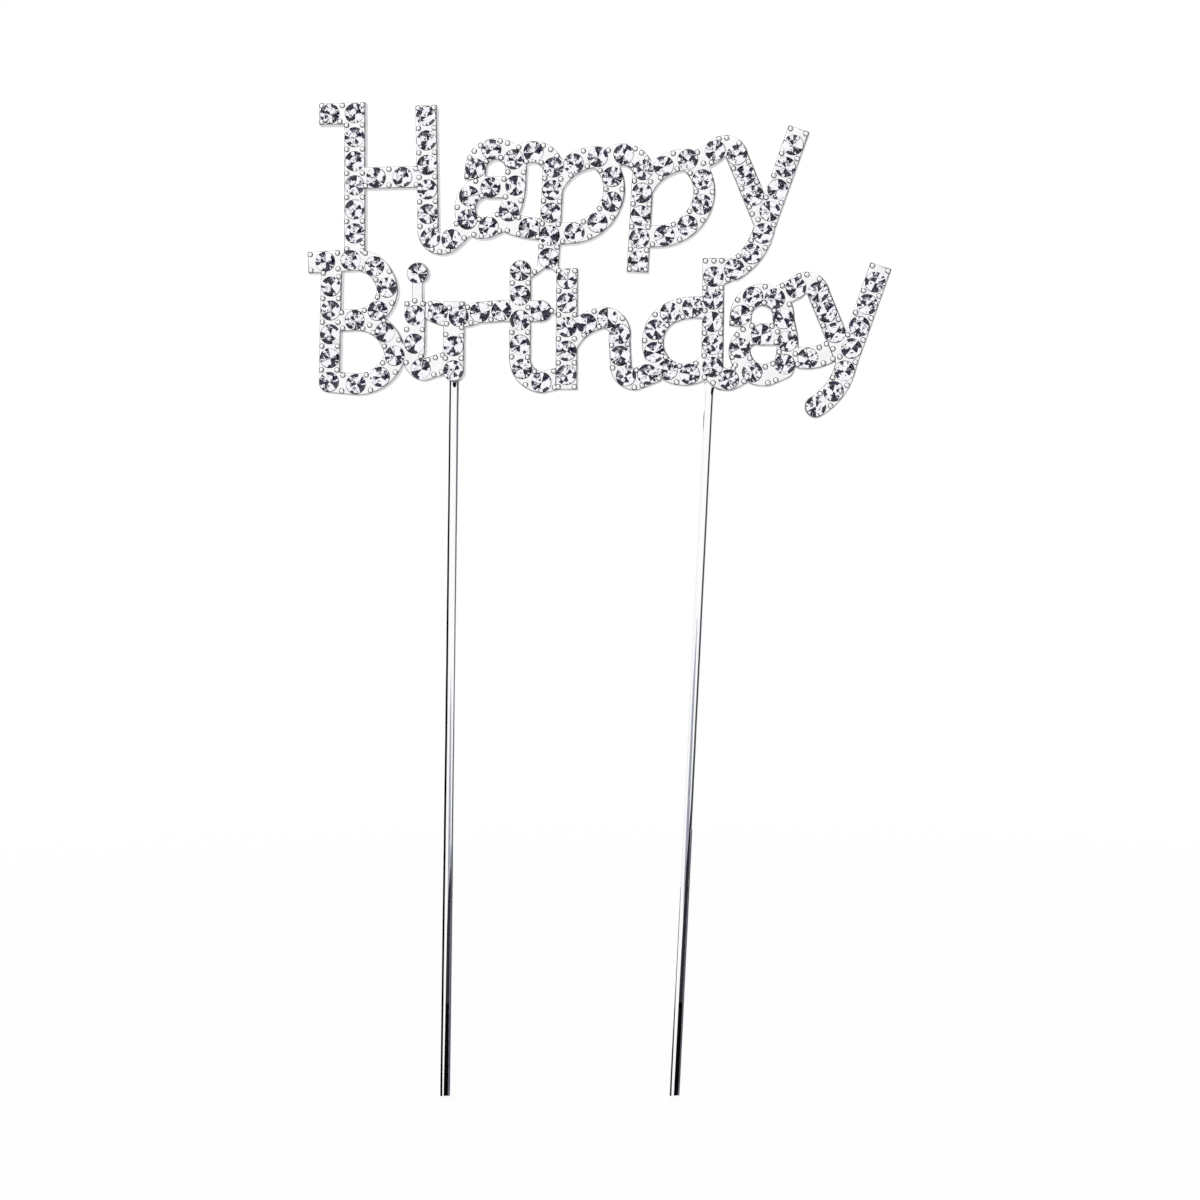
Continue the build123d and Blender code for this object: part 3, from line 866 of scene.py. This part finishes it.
def make_world():
    """A white studio, dimmer for the light that it throws on the floor."""
    world = bpy.data.worlds.new("studio")
    bpy.context.scene.world = world
    world.use_nodes = True
    tree = world.node_tree
    strength = tree.nodes.new("ShaderNodeMapRange")
    strength.inputs["To Min"].default_value = WORLD_LIGHT
    strength.inputs["To Max"].default_value = 1.0
    tree.links.new(seen_rays(tree), strength.inputs["Value"])
    background = tree.nodes["Background"]
    background.inputs["Color"].default_value = (1, 1, 1, 1)
    tree.links.new(strength.outputs["Result"], background.inputs["Strength"])


def make_floor():
    """A pale floor that runs into the white background and keeps the object's shadow."""
    nodes = Nodes("pale_floor")
    nodes.give({"Base Color": (0.97, 0.97, 0.97, 1), "Roughness": 0.9, "Specular IOR Level": 0.0})
    away = nodes.add("ShaderNodeVectorMath", operation="LENGTH")
    nodes.join(nodes.place(), away.inputs[0])
    fade = nodes.add("ShaderNodeMapRange")
    for key, value in zip(("From Min", "From Max", "To Min", "To Max"), (*FLOOR_FADE, FLOOR_GLOW, 1.0)):
        fade.inputs[key].default_value = value
    nodes.join(away.outputs["Value"], fade.inputs["Value"])
    share = nodes.add("ShaderNodeMath", operation="MULTIPLY")
    nodes.join(seen_rays(nodes.tree), share.inputs[0])
    nodes.join(fade.outputs["Result"], share.inputs[1])
    white = nodes.add("ShaderNodeEmission")
    mix = nodes.add("ShaderNodeMixShader")
    nodes.join(share.outputs[0], mix.inputs["Fac"])
    nodes.join(nodes.shader.outputs["BSDF"], mix.inputs[1])
    nodes.join(white.outputs["Emission"], mix.inputs[2])
    nodes.join(mix.outputs["Shader"], nodes.output.inputs["Surface"])
    bpy.ops.mesh.primitive_circle_add(vertices=FLOOR_SIDES, radius=FLOOR_RADIUS, fill_type="NGON")
    floor = bpy.context.object
    floor.name = "floor"
    floor.data.materials.append(nodes.material)


def card_material(name, tone):
    """Dull card of a bluish grey."""
    nodes = Nodes(name)
    colour = (*(share * tone for share in CARD_TINT), 1)
    nodes.give({"Base Color": colour, "Roughness": 1.0, "Specular IOR Level": 0.0})
    return nodes.material


def make_card(name, stations, reach, material, foot=Vector((0, 0, 0)), up=Vector((0, 0, 1))):
    """An upright curved card that only reflections show. A station is a height and the azimuths of the card's
    two sides there."""
    vertices, faces = [], []
    for height, first, last in stations:
        for n in range(CARD_STEPS + 1):
            turn = first + (last - first) * n / CARD_STEPS
            vertices.append(foot + up * height + reach * Vector((math.sin(turn), -math.cos(turn), 0)))
    for row in range(len(stations) - 1):
        for n in range(CARD_STEPS):
            near, far = row * (CARD_STEPS + 1) + n, (row + 1) * (CARD_STEPS + 1) + n
            faces.append((near, near + 1, far + 1, far))
    card = new_object(name, new_mesh(name, vertices, faces, [material]))
    card.visible_camera = False
    card.visible_diffuse = False
    card.visible_shadow = False


def plain_stations(azimuths, heights):
    """The stations of a card with straight sides, from azimuths in degrees."""
    return [(height, *map(math.radians, azimuths)) for height in heights]


def band_stations(rod, stations):
    """The stations of a small card that the camera sees as a band in a rod."""
    bulge = rod.radius / WIRE_CARD_REACH

    def azimuth(share):
        return VIEW_AZIMUTH + 2 * math.asin(share) - math.asin(share * bulge)

    return [(height * MM, azimuth(first), azimuth(last)) for height, first, last in stations]


def make_cards():
    """The cards round the object and round each rod."""
    tones = {name: card_material("card_" + name, tone) for name, tone in CARD_TONES.items()}
    for name, (azimuths, heights) in LARGE_CARDS.items():
        make_card("card_" + name, plain_stations(azimuths, heights), LARGE_CARD_REACH, tones["black"])
    for side, bands in ROD_BANDS.items():
        rod = Rod(side)
        cards = [(name, tone, band_stations(rod, stations)) for name, tone, stations in bands]
        cards.append(("back", "mid", plain_stations(BACK_CARD_AZIMUTHS, BACK_CARD_HEIGHTS)))
        for name, tone, stations in cards:
            make_card("card_" + side + "_" + name, stations, WIRE_CARD_REACH, tones[tone], rod.tip, rod.up)


def make_lamp(name, place, size, power):
    """A soft square lamp that faces the object."""
    light = bpy.data.lights.new(name, "AREA")
    light.size = size
    light.energy = power
    lamp = new_object(name, light)
    lamp.location = place
    lamp.rotation_mode = "QUATERNION"
    lamp.rotation_quaternion = (LAMP_TARGET - lamp.location).to_track_quat("-Z", "Y")


def make_studio():
    """The world, the floor, the cards and the lamps."""
    make_world()
    make_floor()
    make_cards()
    for name, lamp in LAMPS.items():
        make_lamp(name, *lamp)
    bpy.context.scene.view_settings.view_transform = "Standard"


def make_camera():
    """The camera, a little to the right of the front."""
    data = bpy.data.cameras.new("camera")
    data.sensor_width = SENSOR
    data.lens = SENSOR * VIEW_DISTANCE / VIEW_WIDTH
    data.clip_start = VIEW_NEAREST
    camera = new_object("camera", data)
    towards = Vector((math.sin(VIEW_AZIMUTH), -math.cos(VIEW_AZIMUTH), 0))
    camera.location = VIEW_TARGET + towards * VIEW_DISTANCE
    camera.rotation_mode = "QUATERNION"
    camera.rotation_quaternion = (-towards).to_track_quat("-Z", "Y")
    bpy.context.scene.camera = camera


make_object()
make_studio()
make_camera()
